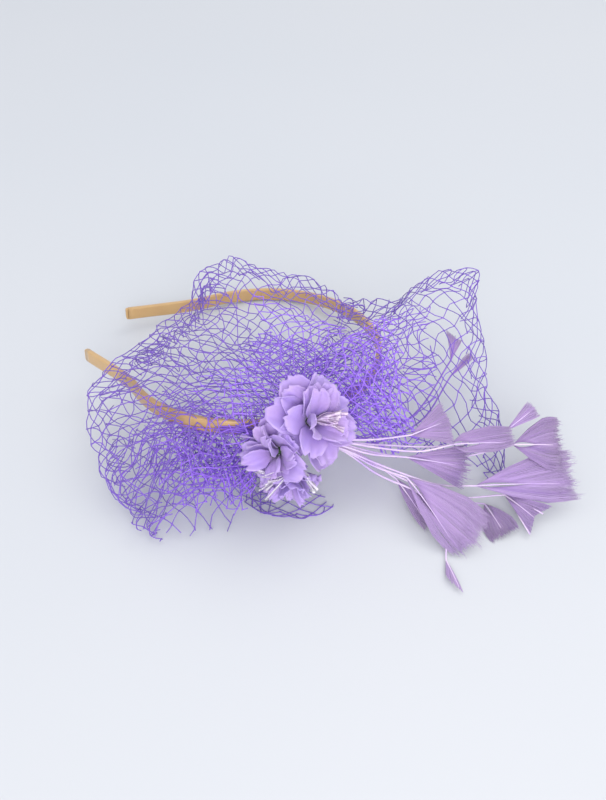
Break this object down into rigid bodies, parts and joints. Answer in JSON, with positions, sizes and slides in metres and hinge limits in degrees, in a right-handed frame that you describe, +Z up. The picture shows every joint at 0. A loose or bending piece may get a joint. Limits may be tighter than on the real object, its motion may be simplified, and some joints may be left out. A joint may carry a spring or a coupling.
{
  "type": "fascinator headpiece",
  "caption": "Ribbon-covered open headband with a gathered diamond-net veil, a cluster of fabric blossoms with stamens and a spray of trimmed quill feathers, lying on its side.",
  "frame": {"origin": "under the middle of the whole piece, at the height of its lowest point, which is the table it lies on", "axes": "+Z up from the table, +X from the band's open tips towards the feathers, +Y from the blossoms towards the far arm of the band"},
  "size_m": [0.2146, 0.185, 0.0628],
  "materials": {
    "band_core": "bare spring steel strip",
    "ribbon_satin": "old-gold satin ribbon with a soft sheen",
    "felt": "pressed felt, lilac",
    "veil_net": "violet millinery net, stiff thread",
    "petal_fabric": "lavender polyester petals, matt",
    "calyx": "dark green moulded plastic",
    "stamens": "pinkish white satin threads, shiny",
    "stem_wire": "paper-covered wire",
    "binding_tape": "lilac florist tape, matt",
    "feather": "dyed goose feather, mauve-lilac, with shiny stripped quills"
  },
  "bodies": {
    "root": {"feather_far_fan": "feather", "feather_far_tip": "feather", "feather_fishtail": "feather", "feather_low_leaf": "feather", "feather_lower_back": "feather", "feather_lower_dark": "feather", "feather_lower_fan": "feather", "feather_mid_fan": "feather", "feather_right_fan": "feather", "feather_top_blade": "feather", "feather_top_fan": "feather", "feather_upright_blade": "feather", "feather_upright_leaf": "feather", "felt_base": "felt", "felt_cover": "felt", "flower_left_calyx": "calyx", "flower_left_eye": "calyx", "flower_left_inner_petals": "petal_fabric", "flower_left_outer_petals": "petal_fabric", "flower_left_stem": "stem_wire", "flower_lower_calyx": "calyx", "flower_lower_inner_petals": "petal_fabric", "flower_lower_outer_petals": "petal_fabric", "flower_lower_stamens": "stamens", "flower_lower_stem": "stem_wire", "flower_right_calyx": "calyx", "flower_right_eye": "calyx", "flower_right_inner_petals": "petal_fabric", "flower_right_outer_petals": "petal_fabric", "flower_right_stamens": "stamens", "flower_right_stem": "stem_wire", "headband_core": "band_core", "quill_tape": "binding_tape", "ribbon_tip_far": "ribbon_satin", "ribbon_tip_near": "ribbon_satin", "ribbon_wrap": "ribbon_satin", "veil_apron": "veil_net", "veil_front": "veil_net", "veil_gather": "veil_net", "veil_left": "veil_net", "veil_right": "veil_net"}
  },
  "joints": []
}
